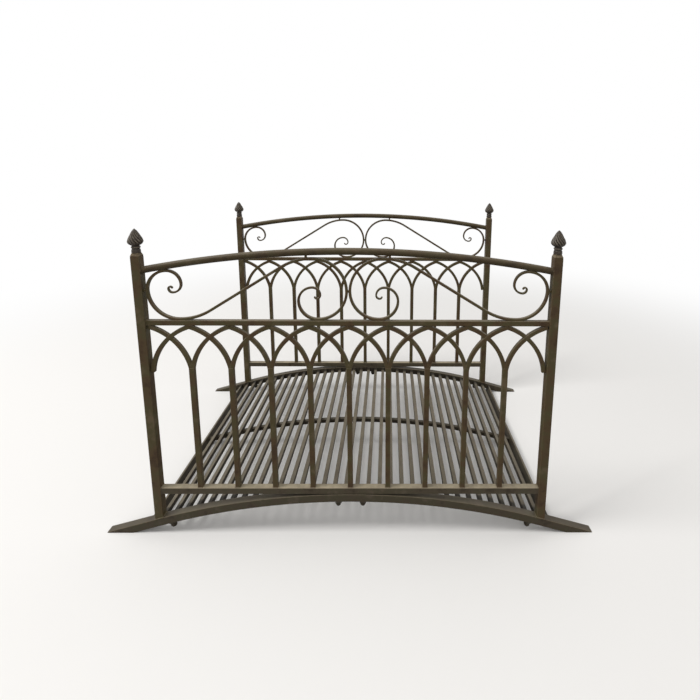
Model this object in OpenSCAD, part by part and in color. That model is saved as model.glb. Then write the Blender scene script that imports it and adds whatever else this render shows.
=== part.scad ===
// Arched garden footbridge in welded steel tube: two gothic railings with scrolls on
// arched side beams, with cross slats for a deck. X runs along the walkway, Y across
// it, Z up from the ground. Sizes in mm.

/* [Span and beams] */
// Clear walkway length between the inner faces of the posts
span = 1150; // [1000:10:1400]
// Distance between the middle planes of the two railings
railing_spacing = 840; // [600:10:1100]
// Side of the square tube of the arched beams
beam = 25; // [22:0.5:32]
// Rise of the arched beams over the clear span
beam_rise = 80; // [70:1:100]
// Length of each foot past the outer face of its post
foot_reach = 150; // [140:1:180]
// Thickness left at the tip of a foot where it is cut flat on the ground
foot_tip = 2; // [1:0.5:4]

/* [Posts and finials] */
// Side of the square post tube
post = 25; // [22:0.5:32]
// Height of the post above the end of the handrail
post_rise = 50; // [40:1:70]
// Size of the chamfer around the top of the post
post_chamfer = 4; // [2:0.5:7]
// Height of the chamfer around the top of the post
post_chamfer_height = 9; // [5:0.5:14]
// Height of the ringed neck under the finial
neck_height = 20; // [14:0.5:28]
// Diameter of the rings of the neck
neck_diameter = 24; // [20:0.5:30]
// Height of the fluted finial
finial_height = 47; // [36:0.5:64]
// Largest diameter of the fluted finial
finial_diameter = 40.5; // [34:0.5:52]
// Depth of the flutes as a share of the finial's radius
flute_share = 0.11; // [0.04:0.01:0.14]
// Number of flutes around the finial
flutes = 14; // [8:1:18]
// Turn of the flutes from the neck to the tip, in degrees
flute_turn = 100; // [0:5:120]

/* [Rails] */
// Diameter of the round handrail
handrail = 20; // [16:0.5:26]
// Rise of the handrail at mid span
handrail_rise = 55; // [35:1:80]
// Side of the square rail between the scrolls and the arches
mid_rail = 15; // [12:0.5:20]
// Side of the square rail at the foot of the railing
bottom_rail = 20; // [16:0.5:26]
// Clear height of the arches between the bottom rail and the mid rail
lattice_height = 518; // [420:2:640]
// Clear height of the scrolls at the post, from the mid rail to the handrail
scroll_height = 136; // [120:1:160]

/* [Gothic arches] */
// Number of bays between the posts
bays = 10; // [8:1:14]
// Side of the square balusters
baluster = 15; // [13:0.5:18]
// Side of the square bars bent into the arches
arch_bar = 12; // [8:0.5:12]
// Height of an arch from its springing to its point, as a share of its bay
arch_share = 1.36; // [1.1:0.02:1.7]
// Height cut off the points of the arches where they meet the mid rail
arch_cut = 1; // [0.5:0.5:3]

/* [Scrolls] */
// Thickness of the flat bar of the scrolls, seen from the side of the bridge
scroll_bar = 6.5; // [5:0.5:8]
// Depth of the flat bar of the scrolls, across the bridge
scroll_depth = 9; // [8:0.5:12]
// Gap that the short lugs close between a scroll and its post or the handrail
scroll_gap = 6; // [3:0.5:8]
// Radius of the curl beside the post as a share of the height of the scrolls
curl_share = 0.62; // [0.56:0.01:0.66]
// Radius of the shoulder of the centre loop as a share of the height of the scrolls
loop_share = 0.7; // [0.62:0.01:0.76]
// Radius of the bends at both ends of the long diagonal as a share of its run
bend_share = 0.44; // [0.38:0.01:0.48]
// Angle by which the upper lug stands back from the highest point of the scroll, in degrees
lug_turn = 6; // [0:1:10]
// Gap between the two centre loops
loop_gap = 3; // [1:0.5:8]

/* [Deck] */
// Number of slats between the end bars
slats = 34; // [26:1:42]
// Side of the square slats
slat = 13; // [10:0.5:16]
// Depth of the slats below the top of the side beams
slat_drop = 4; // [1:0.5:6]
// Length of the deck past the outer faces of the posts
deck_reach = 21; // [12:1:26]
// Thickness of the flat bar on edge across each end of the deck
end_bar = 8; // [5:0.5:12]
// Gap left under that bar above the ground
end_gap = 7; // [4:0.5:12]
// Side of the square bar that carries the slats at mid width
middle_bar = 15; // [12:0.5:20]

/* [Hidden] */
// depth by which a rounded contact is closed by its weld
weld = 0.4;
// step in side between two bars that are welded end to end
seam = 0.05;
// length by which such a bar runs into the one before it
lap = 1;
// radii of the curl after its first quarter turn, as shares of that quarter's radius
curl_shares = [1, 0.67, 0.435, 0.2, 0.095, 0.095];
// radii of the centre loop after its shoulder, as shares of the first of them
loop_shares = [1, 0.66, 0.48, 0.276, 0.12, 0.08];
// finial from the neck to the tip: shares of its height and of its radius
finial_shares = [[0, 0.5], [0.04, 0.68], [0.1, 0.86], [0.18, 0.97], [0.26, 1], [0.34, 0.96],
    [0.44, 0.86], [0.55, 0.73], [0.66, 0.59], [0.76, 0.47], [0.86, 0.33], [0.94, 0.17]];
// how strongly the flutes are cut at the same heights, as shares of their full depth
cut_shares = [0, 0.3, 0.7, 0.95, 1, 1, 1, 1, 1, 0.9, 0.7, 0.3];
// neck from the post to the finial: shares of its height and of its radius
neck_shares = [[0, 0.95], [0.42, 0.95], [0.46, 0.82], [0.56, 0.82], [0.6, 1], [0.82, 1],
    [0.86, 0.84], [1, 0.84]];
// sides of the finial for each flute
flute_sides = 6;
// sides of a full turn of a bent bar, and of other rounds
fine = 720;
$fn = 64;

half = span / 2;
side = railing_spacing / 2;
beam_radius = (half * half + beam_rise * beam_rise) / (2 * beam_rise);
beam_top_radius = beam_radius + beam / 2;
beam_angle = asin((half + post / 2) / beam_radius);
tip_x = half + post + foot_reach;
tip_run = (tip_x - beam_top_radius * sin(beam_angle)) / cos(beam_angle);
beam_centre = foot_tip - beam_top_radius * cos(beam_angle) + tip_run * sin(beam_angle);
crown = beam_centre + beam_top_radius;

bottom_rail_z = crown + bottom_rail / 2;
lattice_low = crown + bottom_rail;
lattice_top = lattice_low + lattice_height;
mid_rail_z = lattice_top + mid_rail / 2;
scroll_low = lattice_top + mid_rail;

handrail_radius = (half * half + handrail_rise * handrail_rise) / (2 * handrail_rise);
handrail_slope = asin(half / handrail_radius);
handrail_end = scroll_low + scroll_height + handrail / 2 / cos(handrail_slope);
handrail_centre = handrail_end - handrail_radius * cos(handrail_slope);
post_top = handrail_end + post_rise;

end_spring = half - arch_bar / 2 + (baluster - arch_bar) / 2;
bay = 2 * end_spring / bays;
arch_height = arch_share * bay;
arch_offset = (arch_height * arch_height - bay * bay) / (2 * bay);
arch_radius = arch_offset + bay;
arch_outer = arch_radius + arch_bar / 2;
arch_angle = acos(arch_offset / arch_outer);
arch_point = sqrt(arch_outer * arch_outer - arch_offset * arch_offset);
spring_z = lattice_top + arch_cut - arch_point;
arch_foot = acos(1 - (baluster - arch_bar) / 3 / arch_radius);
baluster_top = spring_z + arch_radius * sin(arch_foot) + arch_bar;

slat_radius = beam_top_radius - slat_drop - slat / 2;
slat_length = railing_spacing - beam;
middle_radius = slat_radius - slat / 2 - middle_bar / 2 + weld;
deck_radius = beam_top_radius - slat_drop;
end_x = half + post + deck_reach - end_bar / 2;
end_run = (end_x - deck_radius * sin(beam_angle)) / cos(beam_angle);
end_top = beam_centre + deck_radius * cos(beam_angle) - end_run * sin(beam_angle);
end_height = (end_top - end_gap) / cos(beam_angle);
slat_pitch = 2 * end_x / (slats + 1);

// height of the top of a side beam at a distance x from mid span, out to the posts
function beam_top(x) = beam_centre + sqrt(beam_top_radius * beam_top_radius - x * x);

// height of the underside of the handrail at a distance x from mid span
function handrail_under(x) =
    let (inner = handrail_radius - handrail / 2)
    handrail_centre + sqrt(inner * inner - x * x);

// a square bar bent to a circle in the XZ plane, from angle a0 up to angle a1
module bent_bar(radius, wide, deep, a0, a1) {
    rotate([90, 0, 0])
        rotate([0, 0, a0])
            rotate_extrude(angle = a1 - a0, $fn = fine)
                translate([radius, 0])
                    square([wide, deep], center = true);
}

// moves what follows to the front railing, or to the back one
module on_railing(back) {
    translate([0, back ? side : -side, 0])
        children();
}

// moves what follows to a point of the arc of the deck, turned to its slope
module on_arch(x, radius) {
    translate([0, 0, beam_centre])
        rotate([0, asin(x / radius), 0])
            translate([0, 0, radius])
                children();
}

// one straight foot, tangent to the end of the arc
module foot_bar() {
    translate([0, 0, beam_centre])
        rotate([0, beam_angle, 0])
            translate([-lap, seam - beam / 2, beam_radius + seam - beam / 2])
                cube([tip_run + beam + lap, beam - 2 * seam, beam - 2 * seam]);
}

// arched side beam with straight feet cut flat on the ground and square at the tips
module side_beam() {
    difference() {
        union() {
            translate([0, 0, beam_centre])
                bent_bar(beam_radius, beam, beam, 90 - beam_angle, 90 + beam_angle);
            foot_bar();
            mirror([1, 0, 0])
                foot_bar();
        }
        translate([-tip_x - foot_reach, -beam, -foot_reach])
            cube([2 * (tip_x + foot_reach), 2 * beam, foot_reach]);
        for (way = [-1, 1])
            translate([way * (tip_x + foot_reach / 2) - foot_reach / 2, -beam, -foot_reach])
                cube([foot_reach, 2 * beam, 2 * foot_reach]);
    }
}

// square post, cut to the slope of the beam below and chamfered on top
module post_tube(right) {
    turn = right ? 0 : 1;
    low = beam_top(half + post) - weld;
    outer = half + post;
    mirror([turn, 0, 0])
        intersection() {
            translate([0, post / 2, 0])
                rotate([90, 0, 0])
                    linear_extrude(post)
                        polygon([[half, beam_top(half) - weld],
                            [outer, low],
                            [outer, post_top - post_chamfer_height],
                            [outer - post_chamfer, post_top],
                            [half + post_chamfer, post_top],
                            [half, post_top - post_chamfer_height]]);
            translate([half, 0, 0])
                rotate([90, 0, 90])
                    linear_extrude(post)
                        polygon([[-post / 2, low],
                            [post / 2, low],
                            [post / 2, post_top - post_chamfer_height],
                            [post / 2 - post_chamfer, post_top],
                            [-post / 2 + post_chamfer, post_top],
                            [-post / 2, post_top - post_chamfer_height]]);
        }
}

// radius of the fluted finial on one ring at angle a, counted from the top of a flute
function flute_radius(ring, a) =
    let (share = finial_shares[ring][1], cut = flute_share * cut_shares[ring])
    finial_diameter / 2 * share * (1 - cut * (1 - cos(flutes * a)) / 2);

// point of the fluted finial on one ring and one side
function finial_point(ring, step) =
    let (a = step * 360 / (flutes * flute_sides),
        level = finial_shares[ring][0],
        r = flute_radius(ring, a),
        turned = a - flute_turn * level)
    [r * cos(turned), r * sin(turned), finial_height * level];

// ringed neck and spiral fluted bud on top of a post
module finial(right) {
    rings = len(finial_shares);
    sides = flutes * flute_sides;
    points = concat(
        [for (ring = [0:rings - 1]) for (step = [0:sides - 1]) finial_point(ring, step)],
        [[0, 0, 0], [0, 0, finial_height]]);
    base = rings * sides;
    walls = [for (ring = [0:rings - 2]) for (step = [0:sides - 1])
        let (next = (step + 1) % sides, a = ring * sides, b = a + sides)
        each [[a + step, b + next, a + next], [a + step, b + step, b + next]]];
    floor_faces = [for (step = [0:sides - 1]) [base, step, (step + 1) % sides]];
    tip_faces = [for (step = [0:sides - 1])
        let (a = (rings - 1) * sides)
        [base + 1, a + (step + 1) % sides, a + step]];
    translate([(right ? 1 : -1) * (half + post / 2), 0, post_top]) {
        rotate_extrude()
            polygon(concat([[0, 0]],
                [for (s = neck_shares) [neck_diameter / 2 * s[1], neck_height * s[0]]],
                [[0, neck_height]]));
        translate([0, 0, neck_height])
            polyhedron(points = points, faces = concat(walls, floor_faces, tip_faces));
    }
}

// round arched handrail, its ends cut flush with the posts
module handrail_tube() {
    reach = asin((half + handrail) / handrail_radius);
    intersection() {
        translate([0, 0, handrail_centre])
            rotate([90, 0, 0])
                rotate([0, 0, 90 - reach])
                    rotate_extrude(angle = 2 * reach, $fn = fine)
                        translate([handrail_radius, 0])
                            circle(d = handrail);
        translate([-half, -handrail, scroll_low])
            cube([span, 2 * handrail, scroll_height + handrail_rise + 2 * handrail]);
    }
}

// straight square rail between the posts
module straight_rail(thick, z) {
    translate([0, 0, z])
        cube([span, thick, thick], center = true);
}

// interlaced pointed arches over the balusters, one flat panel between the posts
module arches() {
    intersection() {
        union() {
            for (i = [1:bays - 1])
                translate([i * bay - end_spring - baluster / 2, -baluster / 2, lattice_low - lap])
                    cube([baluster, baluster, baluster_top - lattice_low + lap]);
            for (i = [0:bays])
                translate([i * bay - end_spring, 0, spring_z]) {
                    if (i < bays)
                        translate([-arch_offset, 0, 0])
                            bent_bar(arch_radius, arch_bar, arch_bar, arch_foot, arch_angle);
                    if (i > 0)
                        translate([arch_offset, 0, 0])
                            bent_bar(arch_radius, arch_bar, arch_bar - 2 * seam,
                                180 - arch_angle, 180 - arch_foot);
                }
        }
        translate([-half, -baluster, lattice_low])
            cube([span, 2 * baluster, lattice_height]);
    }
}

// a chain of quarter bends that wind inwards to the right: each keeps the heading of the
// one before and is drawn down a little; at is the end of the bend before, and a is the
// angle of that end seen from its centre
module winding(radii, at, a, i = 0) {
    if (i < len(radii)) {
        r = radii[i];
        centre = at - r * [cos(a), sin(a)];
        next = a - 90;
        trim = 2 * seam * (i + 1);
        translate([centre[0], 0, centre[1]])
            bent_bar(r, scroll_bar - trim, scroll_depth - trim, next, a + lap / r * 180 / PI);
        winding(radii, centre + r * [cos(next), sin(next)], next, i + 1);
    }
}

// S scroll: a curl beside the post, a long diagonal and a loop beside the middle, with a
// short lug to the post and one to the handrail
module scroll(right) {
    thick = scroll_bar / 2;
    low = scroll_low + thick - weld;
    curl = curl_share * scroll_height;
    shoulder = loop_share * scroll_height;
    curl_left = -half + scroll_gap + thick;
    curl_x = curl_left + curl;
    curl_z = low + curl;
    // the second quarter of the curl just touches the underside of the handrail
    under = handrail_radius - handrail / 2 - thick + weld;
    drop = curl_z - handrail_centre;
    curl_top = (under * under - curl_left * curl_left - drop * drop) / (2 * (under + curl_left));
    loop_x = -loop_gap / 2 - thick - shoulder;
    top = handrail_under(loop_x) - scroll_gap - thick;
    loop = top - low - shoulder;
    run = loop_x - curl_x;
    bend = bend_share * run;
    climb = top - low - 2 * bend;
    away = norm([run, climb]);
    slant = atan2(climb, run) + asin(2 * bend / away);
    diagonal = sqrt(away * away - 4 * bend * bend);
    lug_x = loop_x - bend * sin(lug_turn);
    lug_z = top - bend * (1 - cos(lug_turn));
    mirror([right ? 1 : 0, 0, 0]) {
        translate([curl_x, 0, low + bend])
            bent_bar(bend, scroll_bar, scroll_depth, -90, -90 + slant);
        translate([curl_x + bend * sin(slant), 0, low + bend * (1 - cos(slant))])
            rotate([0, -slant, 0])
                translate([-lap, seam - scroll_depth / 2, seam - thick])
                    cube([diagonal + 2 * lap, scroll_depth - 2 * seam, scroll_bar - 2 * seam]);
        translate([loop_x, 0, top - bend])
            bent_bar(bend, scroll_bar, scroll_depth, 90, 90 + slant);
        winding(concat([curl], curl_top * curl_shares), [curl_x, low], -90);
        winding(concat([shoulder], loop * loop_shares), [loop_x, top], 90);
        translate([-half - weld, -thick, curl_z - thick])
            cube([scroll_gap + thick + weld, scroll_bar, scroll_bar]);
        translate([lug_x - thick, -thick, lug_z])
            cube([scroll_bar, scroll_bar, handrail_under(lug_x) + weld - lug_z]);
    }
}

// cross slats, each turned to the slope of the arch where it lies
module slat_row() {
    for (i = [1:slats])
        on_arch(i * slat_pitch - end_x, slat_radius)
            cube([slat, slat_length, slat], center = true);
}

// flat bar on edge across the end of the deck, square to the slope of the feet
module end_cross_bar(right) {
    mirror([right ? 0 : 1, 0, 0])
        translate([0, 0, beam_centre])
            rotate([0, beam_angle, 0])
                translate([end_run - end_bar / 2, -slat_length / 2, deck_radius - end_height])
                    cube([end_bar, slat_length, end_height]);
}

// arched bar under the slats at mid width, from one end bar to the other
module middle_bar_arch() {
    reach = beam_angle + asin((end_run - end_bar / 2 + weld) / middle_radius);
    translate([0, 0, beam_centre])
        bent_bar(middle_radius, middle_bar, middle_bar, 90 - reach, 90 + reach);
}

steel = [0.29, 0.255, 0.22];
dark = [0.22, 0.19, 0.165];

module front_side_beam() { color(steel) on_railing(false) side_beam(); }
module back_side_beam() { color(steel) on_railing(true) side_beam(); }
module middle_beam() { color(dark) middle_bar_arch(); }
module left_end_bar() { color(dark) end_cross_bar(false); }
module right_end_bar() { color(dark) end_cross_bar(true); }
module deck_slats() { color(steel) slat_row(); }
module front_left_post() { color(steel) on_railing(false) post_tube(false); }
module front_right_post() { color(steel) on_railing(false) post_tube(true); }
module back_left_post() { color(steel) on_railing(true) post_tube(false); }
module back_right_post() { color(steel) on_railing(true) post_tube(true); }
module front_left_finial() { color(dark) on_railing(false) finial(false); }
module front_right_finial() { color(dark) on_railing(false) finial(true); }
module back_left_finial() { color(dark) on_railing(true) finial(false); }
module back_right_finial() { color(dark) on_railing(true) finial(true); }
module front_handrail() { color(steel) on_railing(false) handrail_tube(); }
module back_handrail() { color(steel) on_railing(true) handrail_tube(); }
module front_mid_rail() { color(steel) on_railing(false) straight_rail(mid_rail, mid_rail_z); }
module back_mid_rail() { color(steel) on_railing(true) straight_rail(mid_rail, mid_rail_z); }
module front_bottom_rail() { color(steel) on_railing(false) straight_rail(bottom_rail, bottom_rail_z); }
module back_bottom_rail() { color(steel) on_railing(true) straight_rail(bottom_rail, bottom_rail_z); }
module front_arches() { color(steel) on_railing(false) arches(); }
module back_arches() { color(steel) on_railing(true) arches(); }
module front_left_scroll() { color(dark) on_railing(false) scroll(false); }
module front_right_scroll() { color(dark) on_railing(false) scroll(true); }
module back_left_scroll() { color(dark) on_railing(true) scroll(false); }
module back_right_scroll() { color(dark) on_railing(true) scroll(true); }

front_side_beam();
back_side_beam();
middle_beam();
left_end_bar();
right_end_bar();
deck_slats();
front_left_post();
front_right_post();
back_left_post();
back_right_post();
front_left_finial();
front_right_finial();
back_left_finial();
back_right_finial();
front_handrail();
back_handrail();
front_mid_rail();
back_mid_rail();
front_bottom_rail();
back_bottom_rail();
front_arches();
back_arches();
front_left_scroll();
front_right_scroll();
back_left_scroll();
back_right_scroll();
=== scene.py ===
import math
import bpy
import numpy as np
from mathutils import Matrix, Vector


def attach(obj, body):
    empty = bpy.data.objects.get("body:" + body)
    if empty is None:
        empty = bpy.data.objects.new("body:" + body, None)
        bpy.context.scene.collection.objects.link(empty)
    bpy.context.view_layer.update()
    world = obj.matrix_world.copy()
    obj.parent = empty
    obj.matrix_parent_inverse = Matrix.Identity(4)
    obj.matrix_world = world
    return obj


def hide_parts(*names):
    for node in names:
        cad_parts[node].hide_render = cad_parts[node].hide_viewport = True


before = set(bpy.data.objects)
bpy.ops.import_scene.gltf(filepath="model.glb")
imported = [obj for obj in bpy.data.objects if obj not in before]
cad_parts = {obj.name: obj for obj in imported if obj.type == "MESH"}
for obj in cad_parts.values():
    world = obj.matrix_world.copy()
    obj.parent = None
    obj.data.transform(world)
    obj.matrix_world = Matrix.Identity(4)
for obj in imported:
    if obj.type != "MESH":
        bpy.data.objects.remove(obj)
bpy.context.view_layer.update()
mm = 0.001
print("frame loaded:", len(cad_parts), "nodes")

# main sizes of the solids, in mm
bridge = dict(span=1150.0, spacing=840.0, beam=25.0, beamRise=80.0, footReach=150.0, footTip=2.0,
              post=25.0, postRise=50.0, chamfer=4.0, chamferHeight=9.0)
half = bridge["span"] / 2
side = bridge["spacing"] / 2
postX = half + bridge["post"] / 2
beamRadius = (half ** 2 + bridge["beamRise"] ** 2) / (2 * bridge["beamRise"])
beamTopRadius = beamRadius + bridge["beam"] / 2
beamUnderRadius = beamRadius - bridge["beam"] / 2
beamAngle = math.asin(postX / beamRadius)
tipX = half + bridge["post"] + bridge["footReach"]
tipRun = (tipX - beamTopRadius * math.sin(beamAngle)) / math.cos(beamAngle)
beamCentre = bridge["footTip"] - beamTopRadius * math.cos(beamAngle) + tipRun * math.sin(beamAngle)
crown = beamCentre + beamTopRadius
railings = (("front", -side), ("back", side))
ends = (("left", -1), ("right", 1))
alongX, alongY, alongZ = np.eye(3)
sink = 0.4  # how far a welded end or bead reaches into its neighbour
hair = 0.01  # margin that picks the points on a flat


# top of the arched beams over x: a circle about the beam centre, then the straight foot
def beamTop(x):
    a = np.minimum(np.abs(x), beamTopRadius * math.sin(beamAngle))
    return beamCentre + np.sqrt(beamTopRadius ** 2 - a ** 2) - (np.abs(x) - a) * math.tan(beamAngle)


# rectangle with round corners, counter-clockwise; edge is 1 on the corners, 0 on the flats
def roundedBar(wide, deep, radius, steps=3):
    turn = np.linspace(0, math.pi / 2, steps + 1)
    corner = np.arange(4)[:, None] * math.pi / 2 + turn[None, :]
    middle = np.array([[1, 1], [-1, 1], [-1, -1], [1, -1]]) * (np.array([wide, deep]) / 2 - radius)
    points = middle[:, None, :] + radius * np.stack([np.cos(corner), np.sin(corner)], 2)
    edge = np.tile(np.sin(turn * 2) ** 0.5, 4)
    return points.reshape(-1, 2), edge


def roundedSquare(size, radius, steps=3):
    return roundedBar(size, size, radius, steps)


def circle(radius, sides):
    turn = np.arange(sides) * 2 * math.pi / sides
    return radius * np.stack([np.cos(turn), np.sin(turn)], 1), np.zeros(sides)


# a profile carried along a path: each ring is path + u * first + v * second, and first x second runs
# along the path
def carry(path, first, second, profile, scale=None, loop=False):
    points, edge = profile
    n, m = len(path), len(points)
    first = np.broadcast_to(first, (n, 3))
    second = np.broadcast_to(second, (n, 3))
    size = np.ones(n) if scale is None else np.asarray(scale, float)
    ring = (path[:, None, :] + size[:, None, None] * (points[None, :, 0:1] * first[:, None, :]
            + points[None, :, 1:2] * second[:, None, :]))
    i = np.arange(n if loop else n - 1)[:, None]
    j = np.arange(m)[None, :]
    k, q = (j + 1) % m, (i + 1) % n
    quads = np.stack(np.broadcast_arrays(i * m + j, i * m + k, q * m + k, q * m + j), 2).reshape(-1, 4)
    caps = [] if loop else [np.arange(m)[::-1].tolist(), ((n - 1) * m + np.arange(m)).tolist()]
    return dict(points=ring, edge=np.broadcast_to(edge, (n, m)).copy(), quads=quads, caps=caps)


# a bar that lies in an upright plane along the bridge: the second axis of its profile is +Y
def flatBar(x, z, y, profile, scale=None):
    path = np.stack([x, np.full_like(x, y), z], 1)
    along = np.gradient(path, axis=0)
    along /= np.linalg.norm(along, axis=1, keepdims=True)
    return carry(path, np.cross(alongY, along), alongY, profile, scale)


# an upright bar at x, y with a ring at each level
def uprightBar(x, y, levels, profile, scale=None):
    path = np.stack([np.full(len(levels), x), np.full(len(levels), y), np.asarray(levels, float)], 1)
    return carry(path, alongX, alongY, profile, scale)


# a closed skin over rings of points that are already in place
def skin(points):
    shape = carry(points[:, 0], alongX, alongY, circle(1.0, points.shape[1]))
    shape["points"] = points
    return shape


weld = dict(ripple=3.2, swell=0.13, fewest=3, sides=7, wear=0.25, rimSteps=4)


# a weld bead: a small round carried round a closed line, thicker and thinner in even ripples
def bead(loopPoints, normal, radius):
    ahead = np.roll(loopPoints, -1, axis=0) - np.roll(loopPoints, 1, axis=0)
    ahead /= np.linalg.norm(ahead, axis=1, keepdims=True)
    steps = np.linalg.norm(loopPoints - np.roll(loopPoints, 1, axis=0), axis=1)
    length = np.cumsum(steps)
    waves = max(weld["fewest"], round(length[-1] / weld["ripple"]))
    size = 1 + weld["swell"] * np.cos(2 * math.pi * waves * length / length[-1])
    shape = carry(loopPoints, np.cross(normal, ahead), normal, circle(radius, weld["sides"]), size, loop=True)
    shape["edge"][:] = weld["wear"]
    return shape


# points evenly along a closed line
def even(points, count):
    closed = np.vstack([points, points[:1]])
    run = np.concatenate([[0], np.cumsum(np.linalg.norm(np.diff(closed, axis=0), axis=1))])
    at = np.arange(count) * run[-1] / count
    return np.stack([np.interp(at, run, closed[:, c]) for c in range(closed.shape[1])], 1)


# the outline of a bar in even steps, for the bead round it
def rimLine(wide, deep, radius, count):
    return even(roundedBar(wide, deep, radius, weld["rimSteps"])[0], count)


# an outline stood up across the bridge's length, about x, y, z
def endRing(rim, x, y, z):
    return np.column_stack([np.full(len(rim), x), y + rim[:, 0], z + rim[:, 1]])


# all shapes of a piece in one mesh, in metres; edge says how exposed a point is, which shows as wear and on
# crests and chamfers as painted highlight; groove says how much painted shade and dirt darken it
def makePiece(name, shapes, material, nodes=(), sharp=38):
    points, faces, edges, shadeAndDirtShares, count = [], [], [], [], 0
    for shape in shapes:
        flat = shape["points"].reshape(-1, 3)
        points.append(flat)
        edges.append(shape["edge"].reshape(-1))
        shadeAndDirtShares.append(shape.get("groove", np.zeros(len(flat))).reshape(-1))
        faces += (shape["quads"] + count).tolist()
        faces += [[v + count for v in cap] for cap in shape["caps"]]
        count += len(flat)
    mesh = bpy.data.meshes.new(name)
    mesh.from_pydata(np.vstack(points) * mm, [], faces)
    for key, values in (("edge", edges), ("groove", shadeAndDirtShares)):
        layer = mesh.attributes.new(key, "FLOAT", "POINT")
        layer.data.foreach_set("value", np.concatenate(values).astype(np.float32))
    mesh.polygons.foreach_set("use_smooth", np.ones(len(mesh.polygons), bool))
    mesh.set_sharp_from_angle(angle=math.radians(sharp))
    mesh.update()
    piece = bpy.data.objects.new(name, mesh)
    bpy.context.scene.collection.objects.link(piece)
    mesh.materials.append(material)
    weighted = piece.modifiers.new("flatSides", "WEIGHTED_NORMAL")
    weighted.keep_sharp = True
    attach(piece, "root")
    if nodes:
        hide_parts(*nodes)
    return piece


# sRGB hex to linear colour
def linear(code):
    value = np.array([int(code[i:i + 2], 16) for i in (1, 3, 5)]) / 255
    return tuple(np.where(value <= 0.04045, value / 12.92, ((value + 0.055) / 1.055) ** 2.4)) + (1.0,)


# adds one node: settings are its properties, inputs are values or (node, output) links
def addNode(tree, kind, inputs=None, **settings):
    node = tree.nodes.new(kind)
    for key, value in settings.items():
        setattr(node, key, value)
    for key, value in (inputs or {}).items():
        if isinstance(value, tuple) and isinstance(value[0], bpy.types.Node):
            tree.links.new(value[0].outputs[value[1]], node.inputs[key])
        else:
            node.inputs[key].default_value = value
    return node


# a noise with patches about as large as the size in mm
def addNoise(tree, place, size, detail, rough):
    return addNode(tree, "ShaderNodeTexNoise", {"Vector": (place, "Object"), "Scale": 1 / (size * mm),
                                                "Detail": detail, "Roughness": rough})


# a value taken from one range to another
def addRange(tree, source, given, wanted, **settings):
    return addNode(tree, "ShaderNodeMapRange", {"Value": source, "From Min": given[0], "From Max": given[1],
                                                "To Min": wanted[0], "To Max": wanted[1]}, **settings)


# a share of the second colour over the first; sockets 0, 6 and 7 are factor, A and B for colours
def addBlend(tree, share, first, second):
    return addNode(tree, "ShaderNodeMix", {0: share, 6: first, 7: second}, data_type="RGBA")


# noises as (detail, roughness), ranges of noise or of upward facing that count, stops of the tones
finish = dict(cloud=(5.0, 0.62), patch=(6.0, 0.65), scuff=(5.0, 0.7), peel=(2.0, 0.5), peelHeight=0.3,
              stops=dict(dark=0.34, body=0.45, olive=0.56, light=0.68), upward=(0.3, 0.95),
              patches=(0.3, 0.7), thinnest=0.45, scuffs=(0.38, 0.64), index=1.5)


# powder-coated steel: baked polyester, satin, with a fine orange-peel skin. To the eye it is a dark bronze
# brown that clouds towards olive, a dull sheen, dust and painted top light on faces that look up, corners
# paler from wear and painted highlight, painted shade and dirt in grooves, recesses and under parts
def powderCoat(name, coat):
    material = bpy.data.materials.new(name)
    material.use_nodes = True
    tree = material.node_tree
    shader = tree.nodes["Principled BSDF"]
    place = addNode(tree, "ShaderNodeTexCoord")
    clouds = addNoise(tree, place, coat["cloud"], *finish["cloud"])
    tones = addNode(tree, "ShaderNodeValToRGB", {"Fac": (clouds, "Fac")})
    stops = finish["stops"]
    ramp = tones.color_ramp.elements
    ramp[0].position, ramp[1].position = stops["dark"], stops["light"]
    ramp[0].color, ramp[1].color = linear(coat["dark"]), linear(coat["light"])
    ramp.new(stops["body"]).color = linear(coat["body"])
    ramp.new(stops["olive"]).color = linear(coat["olive"])
    # dust settles on what looks up, in patches; the same pale is also painted light on the tops
    facing = addNode(tree, "ShaderNodeNewGeometry")
    upward = addNode(tree, "ShaderNodeSeparateXYZ", {"Vector": (facing, "Normal")})
    lying = addRange(tree, (upward, "Z"), finish["upward"], (0.0, coat["dustAndTopLightShare"]),
                     interpolation_type="SMOOTHSTEP")
    patches = addNoise(tree, place, coat["patch"], *finish["patch"])
    thin = addRange(tree, (patches, "Fac"), finish["patches"], (finish["thinnest"], 1.0))
    dustAndTopLight = addNode(tree, "ShaderNodeMath", {0: (lying, "Result"), 1: (thin, "Result")}, operation="MULTIPLY")
    dustedAndTopLit = addBlend(tree, (dustAndTopLight, "Value"), (tones, "Color"), linear(coat["dustAndTopLight"]))
    # wear on the corners, broken up by a finer noise; on finial crests and cap chamfers this pale is also a
    # painted highlight
    corner = addNode(tree, "ShaderNodeAttribute", attribute_name="edge")
    scuffs = addNoise(tree, place, coat["scuff"], *finish["scuff"])
    broken = addRange(tree, (scuffs, "Fac"), finish["scuffs"], (0.0, coat["wearAndHighlightShare"]))
    wear = addNode(tree, "ShaderNodeMath", {0: (corner, "Fac"), 1: (broken, "Result")}, operation="MULTIPLY")
    wornAndHighlight = addBlend(tree, (wear, "Value"), (dustedAndTopLit, 2), linear(coat["wornAndHighlight"]))
    # painted shade and old dirt darken grooves, recesses and faces under or between parts
    shadeAndDirtMask = addNode(tree, "ShaderNodeAttribute", attribute_name="groove")
    shadedAndDirtied = addBlend(tree, (shadeAndDirtMask, "Fac"), (wornAndHighlight, 2), linear(coat["shadeAndDirt"]))
    tree.links.new(shadedAndDirtied.outputs[2], shader.inputs["Base Color"])
    gloss = addRange(tree, (patches, "Fac"), finish["patches"], coat["gloss"])
    tree.links.new(gloss.outputs["Result"], shader.inputs["Roughness"])
    peel = addNoise(tree, place, coat["peel"], *finish["peel"])
    bumps = addNode(tree, "ShaderNodeBump", {"Height": (peel, "Fac"), "Strength": coat["peelDepth"],
                                             "Distance": finish["peelHeight"] * mm})
    tree.links.new(bumps.outputs["Normal"], shader.inputs["Normal"])
    shader.inputs["IOR"].default_value = finish["index"]
    shader.inputs["Specular IOR Level"].default_value = coat["sheen"]
    return material


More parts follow.
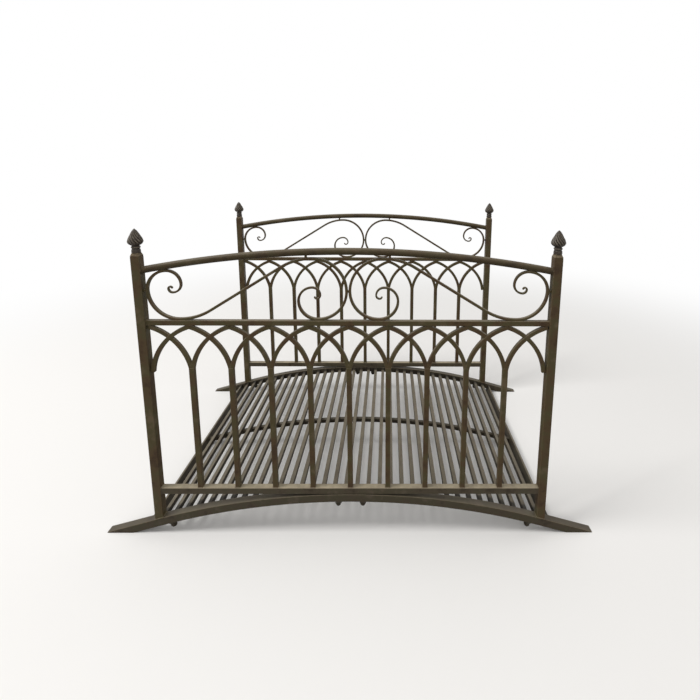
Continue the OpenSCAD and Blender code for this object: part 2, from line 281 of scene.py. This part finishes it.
# orange peel is about 1 mm on the real coat, drawn at 2.5 mm so that it shows
frameCoat = dict(body="#554530", dark="#453525", light="#675944", olive="#514a31", dustAndTopLight="#8b8170",
                 dustAndTopLightShare=0.6, wornAndHighlight="#7e705a", wearAndHighlightShare=0.5, shadeAndDirt="#1d1812", cloud=60, patch=28, scuff=9,
                 peel=2.5, peelDepth=0.35, gloss=(0.42, 0.58), sheen=0.16)
# darker where hands polish it
handCoat = dict(frameCoat, body="#4a3e2b", dark="#3c3223", light="#584b39", olive="#48402b", dustAndTopLightShare=0.4)
# greyer by the ground
beamCoat = dict(frameCoat, body="#4d4437", dark="#3d352a", light="#5c5245", olive="#4a4535", dustAndTopLightShare=0.32)
# paler with dust that lies on a rail and with painted light on its top
lowCoat = dict(beamCoat, body="#534a3c", dark="#433a2e", light="#63584a", olive="#504a3a", dustAndTopLight="#a79b83",
               dustAndTopLightShare=0.97)
# greyer and more worn underfoot
deckCoat = dict(frameCoat, body="#4b4236", dark="#3c342a", light="#5a5043", olive="#4a4537", dustAndTopLight="#867d6c",
                dustAndTopLightShare=0.55, wearAndHighlightShare=0.65)
# nearly black in the cast grooves from painted shade and dirt, with crests pale from wear and painted
# highlight, and more sheen
finialCoat = dict(frameCoat, body="#3a3027", dark="#2a221b", light="#473c31", olive="#393227",
                  wornAndHighlight="#968b79", wearAndHighlightShare=0.7, shadeAndDirt="#120e0a", cloud=14, scuff=5, dustAndTopLightShare=0.1,
                  gloss=(0.34, 0.48), sheen=0.3)
frameMaterial = powderCoat("bronzePowderCoat", frameCoat)
handMaterial = powderCoat("handledPowderCoat", handCoat)
lowMaterial = powderCoat("dustyTopLitPowderCoat", lowCoat)
beamMaterial = powderCoat("beamPowderCoat", beamCoat)
deckMaterial = powderCoat("walkedPowderCoat", deckCoat)
finialMaterial = powderCoat("castFinialCoat", finialCoat)
deckNodes = ("deck_slats", "middle_beam", "left_end_bar", "right_end_bar")
for name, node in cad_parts.items():
    material = frameMaterial
    if "finial" in name:
        material = finialMaterial
    elif name in deckNodes:
        material = deckMaterial
    node.data.materials.clear()
    node.data.materials.append(material)
print("materials ready")

# arched side beams with straight feet, cut flat on the ground
beamTube = dict(corner=1.8, steps=3, arcRings=61, footRings=40, footStart=12.0, innerShade=0.55, gap=12.0,
                gapShade=0.9, footDirt=0.24)
profile = roundedSquare(bridge["beam"], beamTube["corner"], beamTube["steps"])
across, up = profile[0].T
rim = bridge["beam"] / 2 - hair
bend = np.linspace(-beamAngle, beamAngle, beamTube["arcRings"])
arcOut = np.stack([np.sin(bend), 0 * bend, np.cos(bend)], 1)
footX = np.linspace(beamRadius * math.sin(beamAngle) + beamTube["footStart"], tipX, beamTube["footRings"])
footZ = beamTop(footX) - bridge["beam"] / 2 / math.cos(beamAngle)
footOut = np.tile(alongZ / math.cos(beamAngle), (len(footX), 1))
for railing, y in railings:
    arcPath = beamRadius * arcOut + [0, y, beamCentre]
    footPath = np.stack([footX, np.full_like(footX, y), footZ], 1)
    path = np.vstack([footPath[::-1] * [-1, 1, 1], arcPath, footPath])
    shape = carry(path, alongY, np.vstack([footOut, arcOut, footOut]), profile)
    # painted shade on the inner faces between the slats, dirt on the feet, and painted shade on top where the
    # bottom rail leaves a narrow gap
    between = (np.abs(path[:, 0]) < half + bridge["post"])[:, None]
    inner = between & (-np.sign(y) * across > rim)
    feet = ~between & (up > rim)
    narrow = np.clip(1 - (crown - beamTop(path[:, 0])) / beamTube["gap"], 0, 1)[:, None] * (up > rim)
    shape["groove"] = np.maximum(beamTube["innerShade"] * inner + beamTube["footDirt"] * feet,
                                 beamTube["gapShade"] * narrow)
    shape["quads"] = shape["quads"][:, ::-1]  # the axes run the other way along this path
    shape["caps"] = [cap[::-1] for cap in shape["caps"]]
    shape["points"][..., 2] = np.maximum(shape["points"][..., 2], 0)
    makePiece(railing + "SideBeam", [shape], beamMaterial, [railing + "_side_beam"])

# nuts under the beams: a flange, a hexagon with eased corners and a bolt end, each a ring that swells along
# the axis. A tier is its sides, radius and height, then shares of the height and of the radius
nut = dict(places=(-552.0, -38.0, 38.0, 552.0), sink=0.3, shadeAndDirt=0.4,
           tiers=((28, 12.4, 5.0, (0, 0.06, 0.4, 0.5, 1), (1, 1, 1, 0.96, 0.8)),
                  (6, 9.8, 14.5, (0.3, 0.34, 0.92, 1), (0.94, 1, 1, 0.9)),
                  (24, 7.0, 18.5, (0.7, 0.93, 0.98, 1), (1, 1, 0.94, 0.84))))
for railing, y in railings:
    parts = []
    for x in nut["places"]:
        a = math.asin(x / beamUnderRadius)
        along = np.array([math.cos(a), 0, -math.sin(a)])
        down = -np.array([math.sin(a), 0, math.cos(a)])
        seat = np.array([0, y, beamCentre]) - (beamUnderRadius + nut["sink"]) * down
        for sides, radius, height, shares, sizes in nut["tiers"]:
            path = seat + height * np.array(shares)[:, None] * down
            part = carry(path, along, np.cross(down, along), circle(radius, sides), sizes)
            # painted shade: the nuts are darkened all over as they sit under the beam
            part["groove"] = np.full(part["edge"].shape, nut["shadeAndDirt"])
            parts.append(part)
    makePiece(railing + "Nuts", parts, beamMaterial)
print("side beams ready")

# levels of a railing, from the crown of the beams up
lattice = dict(bottomRail=20.0, midRail=15.0, height=518.0, scrollHeight=136.0)
handrail = dict(diameter=20.0, rise=55.0, sides=28, rings=73, overrun=1.003, bead=2.0, beadPoints=60,
                beadOut=0.2, beadBack=0.5)
latticeLow = crown + lattice["bottomRail"]
latticeTop = latticeLow + lattice["height"]
scrollLow = latticeTop + lattice["midRail"]
handrailRadius = (half ** 2 + handrail["rise"] ** 2) / (2 * handrail["rise"])
handrailSlope = math.asin(half / handrailRadius)
handrailEnd = scrollLow + lattice["scrollHeight"] + handrail["diameter"] / 2 / math.cos(handrailSlope)
handrailCentre = handrailEnd - handrailRadius * math.cos(handrailSlope)
handrailUnderRadius = handrailRadius - handrail["diameter"] / 2
postTop = handrailEnd + bridge["postRise"]

# square posts with pressed caps, and a bead where each stands on its beam
postTube = dict(corner=1.8, steps=3, foot=60.0, seamDrop=1.5, seamReach=1.2, seamHalf=0.4, seamDepth=0.5,
                ease=0.4, easeLow=0.8, easeHigh=0.6, capWearAndHighlight=2.6, bead=2.2, beadPoints=96, beadInset=0.6,
                beadLift=0.3)
stand = beamTop(postX)
shoulder = postTop - bridge["chamferHeight"]
seam = shoulder - postTube["seamDrop"]
# level of each ring, and how far its sides lie in; the last three are the chamfer of the cap
postRings = np.array([[stand, 0], [stand + postTube["foot"], 0], [seam - postTube["seamReach"], 0],
                      [seam - postTube["seamHalf"], postTube["seamDepth"]],
                      [seam + postTube["seamHalf"], postTube["seamDepth"]], [seam + postTube["seamReach"], 0],
                      [shoulder, 0], [shoulder + postTube["easeLow"], postTube["ease"]],
                      [postTop - postTube["easeHigh"], bridge["chamfer"] - postTube["ease"]],
                      [postTop, bridge["chamfer"]]])
profile = roundedSquare(bridge["post"], postTube["corner"], postTube["steps"])
postRim = bridge["post"] - postTube["beadInset"]
for railing, y in railings:
    for end, way in ends:
        x = way * postX
        tube = uprightBar(x, y, postRings[:, 0], profile, 1 - 2 * postRings[:, 1] / bridge["post"])
        tube["points"][0, :, 2] = beamTop(tube["points"][0, :, 0]) - sink
        tube["edge"][-3:] = postTube["capWearAndHighlight"]  # the chamfer of the cap is pale: wear and a painted highlight
        rim = rimLine(postRim, postRim, postTube["corner"], postTube["beadPoints"]) + [x, y]
        rim = np.column_stack([rim, beamTop(rim[:, 0]) + postTube["beadLift"]])
        makePiece(railing + end.title() + "Post", [tube, bead(rim, alongZ, postTube["bead"])], frameMaterial,
                  [railing + "_" + end + "_post"])
print("posts ready")

# finials: a turned neck with two rings, and a bud whose lobes wind up to the tip
finial = dict(neckHeight=20.0, neckDiameter=24.0, neckSides=48, height=47.0, diameter=40.5, lobes=14,
              turn=100.0, depth=0.15, fullness=0.7, rings=48, tipRings=8, tip=(0.9, 0.915),
              smoothed=(0.05, 0.95), sides=196, sharp=55, ringFrom=0.6, ringOver=0.97, ringWear=0.9,
              neckUnder=0.9, neckShade=0.6, crest=4, valley=1.5, valleyFade=0.8, valleyShadeAndDirt=0.85)
# share of the height, then share of the widest radius
budOutline = np.array([[0, 0.5], [0.04, 0.68], [0.1, 0.86], [0.18, 0.97], [0.26, 1], [0.34, 0.96],
                       [0.44, 0.86], [0.55, 0.73], [0.66, 0.59], [0.76, 0.47], [0.86, 0.33], [0.94, 0.17],
                       [1, 0.02]])
neckOutline = np.array([[0, 0.97], [0.06, 1], [0.36, 0.97], [0.44, 0.93], [0.5, 0.84], [0.59, 0.84],
                        [0.65, 0.95], [0.7, 1], [0.81, 1], [0.86, 0.94], [0.9, 0.84], [1, 0.84]])
# share of the height, then how deep the lobes are cut there
lobeStrength = np.array([[0, 0], [0.05, 0.35], [0.2, 1], [0.75, 1], [0.95, 0.4], [1, 0]])
soften = [0.1, 0.2, 0.4, 0.2, 0.1]
# neck: a profile of radii turned about the post's axis
neckZ = neckOutline[:, 0] * finial["neckHeight"] + postTop
neckRadius = neckOutline[:, 1] * finial["neckDiameter"] / 2
onRing = (neckOutline[:, 0] > finial["ringFrom"]) & (neckOutline[:, 1] > finial["ringOver"])
inNeck = neckOutline[:, 1] < finial["neckUnder"]
# bud: radius = outline(t) * (1 - depth * groove), the groove a sharp valley between round lobes that
# turns with t
t = np.concatenate([np.linspace(0, finial["tip"][0], finial["rings"]),
                    np.linspace(finial["tip"][1], 1, finial["tipRings"])])
outline = np.interp(t, budOutline[:, 0], budOutline[:, 1])
smooth = np.convolve(np.pad(outline, len(soften) // 2, mode="edge"), soften, "valid")
inside = (t > finial["smoothed"][0]) & (t < finial["smoothed"][1])
outline = np.minimum(np.where(inside, smooth, outline), 1)[:, None]
strength = np.interp(t, lobeStrength[:, 0], lobeStrength[:, 1])[:, None]
theta = np.arange(finial["sides"]) * 2 * math.pi / finial["sides"]
phase = finial["lobes"] / 2 * (theta + math.radians(finial["turn"]) * t[:, None])
lobe = np.abs(np.cos(phase)) ** finial["fullness"]
budRadius = finial["diameter"] / 2 * outline * (1 - finial["depth"] * strength * (1 - lobe))
budZ = (postTop + finial["neckHeight"] + t * finial["height"])[:, None] + 0 * theta
valleys = np.clip(1 - finial["valley"] * lobe, 0, 1) ** finial["valleyFade"]
for railing, y in railings:
    for end, way in ends:
        x = way * postX
        neck = uprightBar(x, y, neckZ, circle(1.0, finial["neckSides"]), neckRadius)
        neck["edge"] += finial["ringWear"] * onRing[:, None]
        # painted shade in the narrow parts of the neck between the rings
        neck["groove"] = np.zeros(neck["edge"].shape) + finial["neckShade"] * inNeck[:, None]
        bud = skin(np.stack([x + budRadius * np.cos(theta), y + budRadius * np.sin(theta), budZ], 2))
        # the crests are pale from wear and painted highlight; the valleys hold painted shade and dirt
        bud["edge"] = (lobe * strength) ** finial["crest"]
        bud["groove"] = finial["valleyShadeAndDirt"] * strength * valleys
        makePiece(railing + end.title() + "Finial", [neck, bud], finialMaterial,
                  [railing + "_" + end + "_finial"], sharp=finial["sharp"])
print("finials ready")

# rails: round arched handrail and two straight square rails, a bead at each end
squareRail = dict(corner=1.4, steps=3, bead=1.8, beadPoints=64)
straightRails = (("MidRail", "_mid_rail", lattice["midRail"], latticeTop, frameMaterial),
                 ("BottomRail", "_bottom_rail", lattice["bottomRail"], crown, lowMaterial))
bend = np.linspace(-handrailSlope, handrailSlope, handrail["rings"]) * handrail["overrun"]
handrailRim = circle(handrail["diameter"] / 2 + handrail["beadOut"], handrail["beadPoints"])[0]
handrailRim = handrailRim / [1, math.cos(handrailSlope)]
for railing, y in railings:
    parts = [flatBar(handrailRadius * np.sin(bend), handrailCentre + handrailRadius * np.cos(bend), y,
                     circle(handrail["diameter"] / 2, handrail["sides"]))]
    for end, way in ends:
        ring = endRing(handrailRim, way * (half - handrail["beadBack"]), y, handrailEnd)
        parts.append(bead(ring, alongX, handrail["bead"]))
    makePiece(railing + "Handrail", parts, handMaterial, [railing + "_handrail"])
    for title, node, size, base, material in straightRails:
        z = base + size / 2
        profile = roundedSquare(size, squareRail["corner"], squareRail["steps"])
        rim = rimLine(size - sink, size - sink, squareRail["corner"], squareRail["beadPoints"])
        parts = [flatBar(np.array([-half, 0.0, half]), np.full(3, z), y, profile)]
        for end, way in ends:
            parts.append(bead(endRing(rim, way * (half - sink), y, z), alongX, squareRail["bead"]))
        makePiece(railing + title, parts, material, [railing + node])
print("rails ready")

# gothic panel: balusters on the bottom rail, and arcs that leap over one baluster to meet at the next point
gothic = dict(bays=10, baluster=15.0, bar=12.0, passUnder=1.6, archShare=1.36, archCut=1.0, footShare=1 / 3,
              corner=1.4, rings=22, balusterSink=1.0, bead=1.5, beadPoints=56, beadLift=0.2)
overhang = gothic["baluster"] - gothic["bar"]
endSpring = half - gothic["bar"] / 2 + overhang / 2
bay = 2 * endSpring / gothic["bays"]
archHeight = gothic["archShare"] * bay
archOffset = (archHeight ** 2 - bay ** 2) / (2 * bay)
archRadius = archOffset + bay
archOuter = archRadius + gothic["bar"] / 2
archPoint = math.sqrt(archOuter ** 2 - archOffset ** 2)
springZ = latticeTop + gothic["archCut"] - archPoint
archFoot = math.acos(1 - gothic["footShare"] * overhang / archRadius)
balusterTop = springZ + archRadius * math.sin(archFoot) + gothic["bar"]
balusterLevels = [latticeLow - gothic["balusterSink"], (latticeLow + balusterTop) / 2, balusterTop]
balusterProfile = roundedSquare(gothic["baluster"], gothic["corner"])
balusterRim = rimLine(gothic["baluster"] - sink, gothic["baluster"] - sink, gothic["corner"],
                      gothic["beadPoints"])
sweep = np.linspace(archFoot, math.acos(archOffset / archOuter), gothic["rings"])
archX = archRadius * np.cos(sweep) - archOffset
archZ = springZ + archRadius * np.sin(sweep)
overBar = roundedSquare(gothic["bar"], gothic["corner"])
underBar = roundedBar(gothic["bar"], gothic["bar"] - gothic["passUnder"], gothic["corner"])
for railing, y in railings:
    parts = []
    for i in range(1, gothic["bays"]):
        x = i * bay - endSpring
        parts.append(uprightBar(x, y, balusterLevels, balusterProfile))
        rim = np.column_stack([balusterRim, np.full(len(balusterRim), latticeLow + gothic["beadLift"])])
        parts.append(bead(rim + [x, y, 0], alongZ, gothic["bead"]))
    for i in range(gothic["bays"] + 1):
        x = i * bay - endSpring
        if i < gothic["bays"]:
            parts.append(flatBar(x + archX, archZ, y, underBar))
        if i > 0:
            parts.append(flatBar(x - archX, archZ, y, overBar))
    makePiece(railing + "Arches", parts, frameMaterial, [railing + "_arches"])
print("arches ready")

# S scrolls: one flat bar from the eye of the curl by the post, along the diagonal, to the eye of the loop at
# mid span. The coat builds up on a bar as thin as this
scroll = dict(bar=6.5, depth=9.0, build=1.1, corner=1.3, gap=6.0, curlShare=0.62, loopShare=0.7,
              bendShare=0.44, bendRings=30, loopGap=3.0, curl=(1, 0.67, 0.435, 0.2, 0.095, 0.095),
              loop=(1, 0.66, 0.48, 0.276, 0.12, 0.08), step=2.5, fewest=9, taper=150.0, eye=0.6,
              tips=(0.6, 0.92), lugTurn=6.0, tack=4.2, tackOff=0.6)


def handrailUnder(x):
    return handrailCentre + math.sqrt(handrailUnderRadius ** 2 - x ** 2)


# quarter turns wound inwards to the right, each from the end of the last
def winding(radii, start, angle):
    points = []
    for r in radii:
        centre = start - r * np.array([math.cos(angle), math.sin(angle)])
        count = max(scroll["fewest"], int(r * math.pi / 2 / scroll["step"]))
        a = np.linspace(angle, angle - math.pi / 2, count)
        points.append(centre + r * np.stack([np.cos(a), np.sin(a)], 1))
        angle -= math.pi / 2
        start = points[-1][-1]
    return np.vstack([points[0][:1]] + [p[1:] for p in points])


thick = scroll["bar"] / 2
low = scrollLow + thick - sink
curlRadius = scroll["curlShare"] * lattice["scrollHeight"]
loopShoulder = scroll["loopShare"] * lattice["scrollHeight"]
curlLeft = -half + scroll["gap"] + thick
curlX = curlLeft + curlRadius
curlZ = low + curlRadius
# the second quarter of the curl just touches the underside of the handrail
under = handrailUnderRadius - thick + sink
curlTop = (under ** 2 - curlLeft ** 2 - (curlZ - handrailCentre) ** 2) / (2 * (under + curlLeft))
loopX = -scroll["loopGap"] / 2 - thick - loopShoulder
scrollTop = handrailUnder(loopX) - scroll["gap"] - thick
loopZ = scrollTop - loopShoulder
loopRadius = loopZ - low
# the diagonal: a bend up from the curl, a straight and a bend into the loop, both bends of one radius
run = loopX - curlX
bendRadius = scroll["bendShare"] * run
climb = scrollTop - low - 2 * bendRadius
slant = math.atan2(climb, run) + math.asin(2 * bendRadius / math.hypot(run, climb))
bends = np.linspace(0, slant, scroll["bendRings"])
arc = bendRadius * np.stack([np.sin(bends), -np.cos(bends)], 1)
lowBend = np.array([curlX, low + bendRadius]) + arc
highBend = np.array([loopX, scrollTop - bendRadius]) - arc
curlRadii = [curlRadius] + [curlTop * s for s in scroll["curl"]]
loopRadii = [loopShoulder] + [loopRadius * s for s in scroll["loop"]]
curlLine = winding(curlRadii, np.array([curlX, low]), -math.pi / 2)
loopLine = winding(loopRadii, np.array([loopX, scrollTop]), math.pi / 2)
scrollLine = np.vstack([curlLine[::-1], lowBend[1:], highBend[::-1], loopLine[1:]])
# drawn down towards both eyes, with eased tips
length = np.concatenate([[0], np.cumsum(np.linalg.norm(np.diff(scrollLine, axis=0), axis=1))])
ease = np.interp(np.minimum(length, length[-1] - length), [0, scroll["taper"]], [scroll["eye"], 1])
ease[[0, -1]] *= scroll["tips"][0]
ease[[1, -2]] *= scroll["tips"][1]
# where a scroll is tacked to the mid rail, to the other scroll and to the handrail
touch = math.atan2(curlZ - handrailCentre, curlLeft + curlTop)
touchX = curlLeft + curlTop + (curlTop + thick) * math.cos(touch)
touchZ = curlZ + (curlTop + thick) * math.sin(touch)
tacks = np.array([[curlX, scrollLow + sink], [loopX, scrollLow + sink], [-scroll["tackOff"], loopZ],
                  [touchX, touchZ]])
ball = dict(rings=9, sides=16, pole=0.02, lobes=3, twist=2, uneven=0.1, deep=0.75, high=0.8, wear=0.2)


# a tack weld: a squashed ball, its radius uneven in three lobes
def tackWeld(x, y, z, size):
    up = np.linspace(ball["pole"], math.pi - ball["pole"], ball["rings"])[:, None]
    turn = np.linspace(0, 2 * math.pi, ball["sides"] + 1)[None, :-1]
    swell = size * (1 + ball["uneven"] * np.cos(ball["lobes"] * turn + ball["twist"] * up))
    shape = skin(np.stack([x + swell * np.sin(up) * np.cos(turn),
                           y + ball["deep"] * swell * np.sin(up) * np.sin(turn),
                           z - ball["high"] * swell * np.cos(up)], 2))
    shape["edge"] += ball["wear"]
    return shape


coated = roundedBar(scroll["bar"] + scroll["build"], scroll["depth"] + scroll["build"], scroll["corner"])
lug = roundedSquare(scroll["bar"], scroll["corner"])
lugTurn = math.radians(scroll["lugTurn"])
lugX = loopX - bendRadius * math.sin(lugTurn)
lugZ = np.array([scrollTop - bendRadius * (1 - math.cos(lugTurn)), handrailUnder(lugX) + sink])
lugReach = half + sink - np.array([0, scroll["gap"] + thick])  # from inside the post to the curl
for railing, y in railings:
    for end, way in ends:
        parts = [flatBar(-way * scrollLine[:, 0], scrollLine[:, 1], y, coated, ease),
                 uprightBar(-way * lugX, y, lugZ, lug),
                 flatBar(way * lugReach[::way], np.full(2, curlZ), y, lug)]
        parts += [tackWeld(-way * x, y, z, scroll["tack"]) for x, z in tacks]
        makePiece(railing + end.title() + "Scroll", parts, frameMaterial,
                  [railing + "_" + end + "_scroll"])
print("scrolls ready")

# deck: square slats between the beams, a flat bar on edge at each end and the arched bar under them
deck = dict(slats=34, slat=13.0, drop=4.0, reach=21.0, endBar=8.0, endGap=7.0, middleBar=15.0, corner=1.1,
            middleCorner=1.6, middleRings=49, bead=1.5, slatBeadPoints=40, endBeadPoints=60, flankShade=0.5,
            endBarShade=0.1, endShade=0.85, endDark=(0.93, 0.955), underShade=0.5)
deckRadius = beamTopRadius - deck["drop"]
slatRadius = deckRadius - deck["slat"] / 2
slatEnd = (bridge["spacing"] - bridge["beam"]) / 2
endX = half + bridge["post"] + deck["reach"] - deck["endBar"] / 2
endRun = (endX - deckRadius * math.sin(beamAngle)) / math.cos(beamAngle)
endTop = beamCentre + deckRadius * math.cos(beamAngle) - endRun * math.sin(beamAngle)
endHeight = (endTop - deck["endGap"]) / math.cos(beamAngle)


# a bar across the deck, turned by the angle a, with a bead round each end
def crossBar(middle, a, profile, rim, shadeAndDirt):
    along = np.array([math.cos(a), 0, -math.sin(a)])
    out = np.array([math.sin(a), 0, math.cos(a)])
    pale, dark = deck["endDark"]
    reach = np.array([-1, -dark, -pale, 0, pale, dark, 1])
    bar = carry(middle + reach[:, None] * [0, slatEnd, 0], out, along, profile)
    # painted shade on both flanks, and all round where the bar meets a beam
    flank = np.abs(profile[0][:, 1]) > profile[0][:, 1].max() - hair
    near = np.interp(np.abs(reach), [pale, dark], [0, 1])
    bar["groove"] = np.maximum(shadeAndDirt * flank[None, :], deck["endShade"] * near[:, None])
    ring = rim[:, :1] * out + rim[:, 1:] * along
    beads = [bead(middle + [0, s * (slatEnd - sink), 0] + ring, alongY, deck["bead"]) for s in (-1, 1)]
    # painted shade on the beads where the bar meets a beam
    for part in beads:
        part["groove"] = np.full(part["edge"].shape, deck["endShade"])
    return [bar] + beads


profile = roundedSquare(deck["slat"], deck["corner"])
rim = rimLine(deck["slat"] - sink, deck["slat"] - sink, deck["corner"], deck["slatBeadPoints"])
parts = []
for x in np.linspace(-endX, endX, deck["slats"] + 2)[1:-1]:
    a = math.asin(x / slatRadius)
    middle = np.array([x, 0, beamCentre + slatRadius * math.cos(a)])
    parts += crossBar(middle, a, profile, rim, deck["flankShade"])
makePiece("deckSlats", parts, deckMaterial, ["deck_slats"])
profile = roundedBar(endHeight, deck["endBar"], deck["corner"])
rim = rimLine(endHeight - sink, deck["endBar"] - sink, deck["corner"], deck["endBeadPoints"])
for end, way in ends:
    middle = np.array([way * (endX - endHeight / 2 * math.sin(beamAngle)), 0,
                       endTop - endHeight / 2 * math.cos(beamAngle)])
    parts = crossBar(middle, way * beamAngle, profile, rim, deck["endBarShade"])
    makePiece(end + "EndBar", parts, deckMaterial, [end + "_end_bar"])
middleRadius = slatRadius - deck["slat"] / 2 - deck["middleBar"] / 2 + sink
span = beamAngle + math.asin((endRun - deck["endBar"] / 2 + sink) / middleRadius)
bend = np.linspace(-span, span, deck["middleRings"])
middleBar = flatBar(middleRadius * np.sin(bend), beamCentre + middleRadius * np.cos(bend), 0.0,
                    roundedSquare(deck["middleBar"], deck["middleCorner"]))
# painted shade: the middle bar under the slats is darkened all over
middleBar["groove"] = np.full(middleBar["edge"].shape, deck["underShade"])
makePiece("middleBeam", [middleBar], deckMaterial, ["middle_beam"])
print("deck ready")

# plain studio: a wide pale floor that fades to white far out, a white surround, soft light from the upper
# left. Sizes in metres; a lamp has its place, its size and its level, which is the share of full white that
# it throws on a sheet square to it at the bridge
studio = dict(floor="#f1efec", bounce="#4e4b47", size=40.0, fade=(1.2, 4.0), sky=0.5, aim=(0, 0, 0.4),
              lamps=(("keyLight", (-4.6, -1.6, 6.6), 2.6, 0.55), ("fillLight", (1.6, -6.4, 3.0), 4.0, 0.14),
                     ("topLight", (1.4, 0.4, 7.0), 4.0, 0.12)))


# 1 for a ray that shows a surface: from the camera, off a glossy face or through a clear one
def addSeen(tree):
    ray = addNode(tree, "ShaderNodeLightPath")
    direct = addNode(tree, "ShaderNodeMath", {0: (ray, "Is Camera Ray"), 1: (ray, "Is Glossy Ray")},
                     operation="MAXIMUM")
    return addNode(tree, "ShaderNodeMath", {0: (direct, "Value"), 1: (ray, "Is Transmission Ray")},
                   operation="MAXIMUM")


mesh = bpy.data.meshes.new("studioFloor")
corners = np.array([[-1, -1, 0], [1, -1, 0], [1, 1, 0], [-1, 1, 0]]) * studio["size"] / 2
mesh.from_pydata(corners, [], [[0, 1, 2, 3]])
floor = bpy.data.objects.new("studioFloor", mesh)
bpy.context.scene.collection.objects.link(floor)
paper = bpy.data.materials.new("palePaper")
paper.use_nodes = True
tree = paper.node_tree
tree.nodes.remove(tree.nodes["Principled BSDF"])
seen = addSeen(tree)
spot = addNode(tree, "ShaderNodeTexCoord")
away = addNode(tree, "ShaderNodeVectorMath", {0: (spot, "Object")}, operation="LENGTH")
far = addRange(tree, (away, "Value"), studio["fade"], (0.0, 1.0), interpolation_type="SMOOTHERSTEP")
whiten = addNode(tree, "ShaderNodeMath", {0: (far, "Result"), 1: (seen, "Value")}, operation="MULTIPLY")
shown = addNode(tree, "ShaderNodeBsdfDiffuse", {"Color": linear(studio["floor"])})
thrown = addNode(tree, "ShaderNodeBsdfDiffuse", {"Color": linear(studio["bounce"])})
white = addNode(tree, "ShaderNodeEmission", {"Strength": 1.0})
matt = addNode(tree, "ShaderNodeMixShader", {0: (seen, "Value"), 1: (thrown, "BSDF"), 2: (shown, "BSDF")})
whole = addNode(tree, "ShaderNodeMixShader", {0: (whiten, "Value"), 1: (matt, "Shader"),
                                              2: (white, "Emission")})
tree.links.new(whole.outputs["Shader"], tree.nodes["Material Output"].inputs["Surface"])
mesh.materials.append(paper)

world = bpy.data.worlds.new("studioSky")
bpy.context.scene.world = world
world.use_nodes = True
tree = world.node_tree
level = addRange(tree, (addSeen(tree), "Value"), (0.0, 1.0), (studio["sky"], 1.0))
tree.nodes["Background"].inputs["Color"].default_value = (1, 1, 1, 1)
tree.links.new(level.outputs["Result"], tree.nodes["Background"].inputs["Strength"])
for name, place, size, level in studio["lamps"]:
    lamp = bpy.data.lights.new(name, "AREA")
    toward = Vector(studio["aim"]) - Vector(place)
    lamp.energy = level * (math.pi * toward.length) ** 2
    lamp.size = size
    holder = bpy.data.objects.new(name, lamp)
    bpy.context.scene.collection.objects.link(holder)
    holder.location = place
    holder.rotation_euler = toward.to_track_quat("-Z", "Y").to_euler()

# camera: focal length and centre in pixels of a 700 x 700 picture, place and sensor in mm, turns in radians
view = dict(focal=431.3788, place=(113.334, -1599.7231, 1127.4395), pitch=-0.166, yaw=-0.0073, roll=-0.0052,
            centre=(391.5743, 236.1915), picture=700.0, sensor=36.0, nearest=0.05)
camera = bpy.data.objects.new("camera", bpy.data.cameras.new("camera"))
bpy.context.scene.collection.objects.link(camera)
camera.data.sensor_width = view["sensor"]
camera.data.lens = view["focal"] / view["picture"] * view["sensor"]
camera.data.shift_x = (view["picture"] / 2 - view["centre"][0]) / view["picture"]
camera.data.shift_y = (view["centre"][1] - view["picture"] / 2) / view["picture"]
camera.data.clip_start = view["nearest"]
turned = (Matrix.Rotation(view["yaw"], 3, "Z") @ Matrix.Rotation(view["pitch"], 3, "X")
          @ Matrix.Rotation(view["roll"], 3, "Y") @ Matrix.Rotation(math.pi / 2, 3, "X"))
camera.matrix_world = Matrix.Translation([c * mm for c in view["place"]]) @ turned.to_4x4()
bpy.context.scene.camera = camera
bpy.context.scene.view_settings.view_transform = "Standard"
print("studio and camera ready")
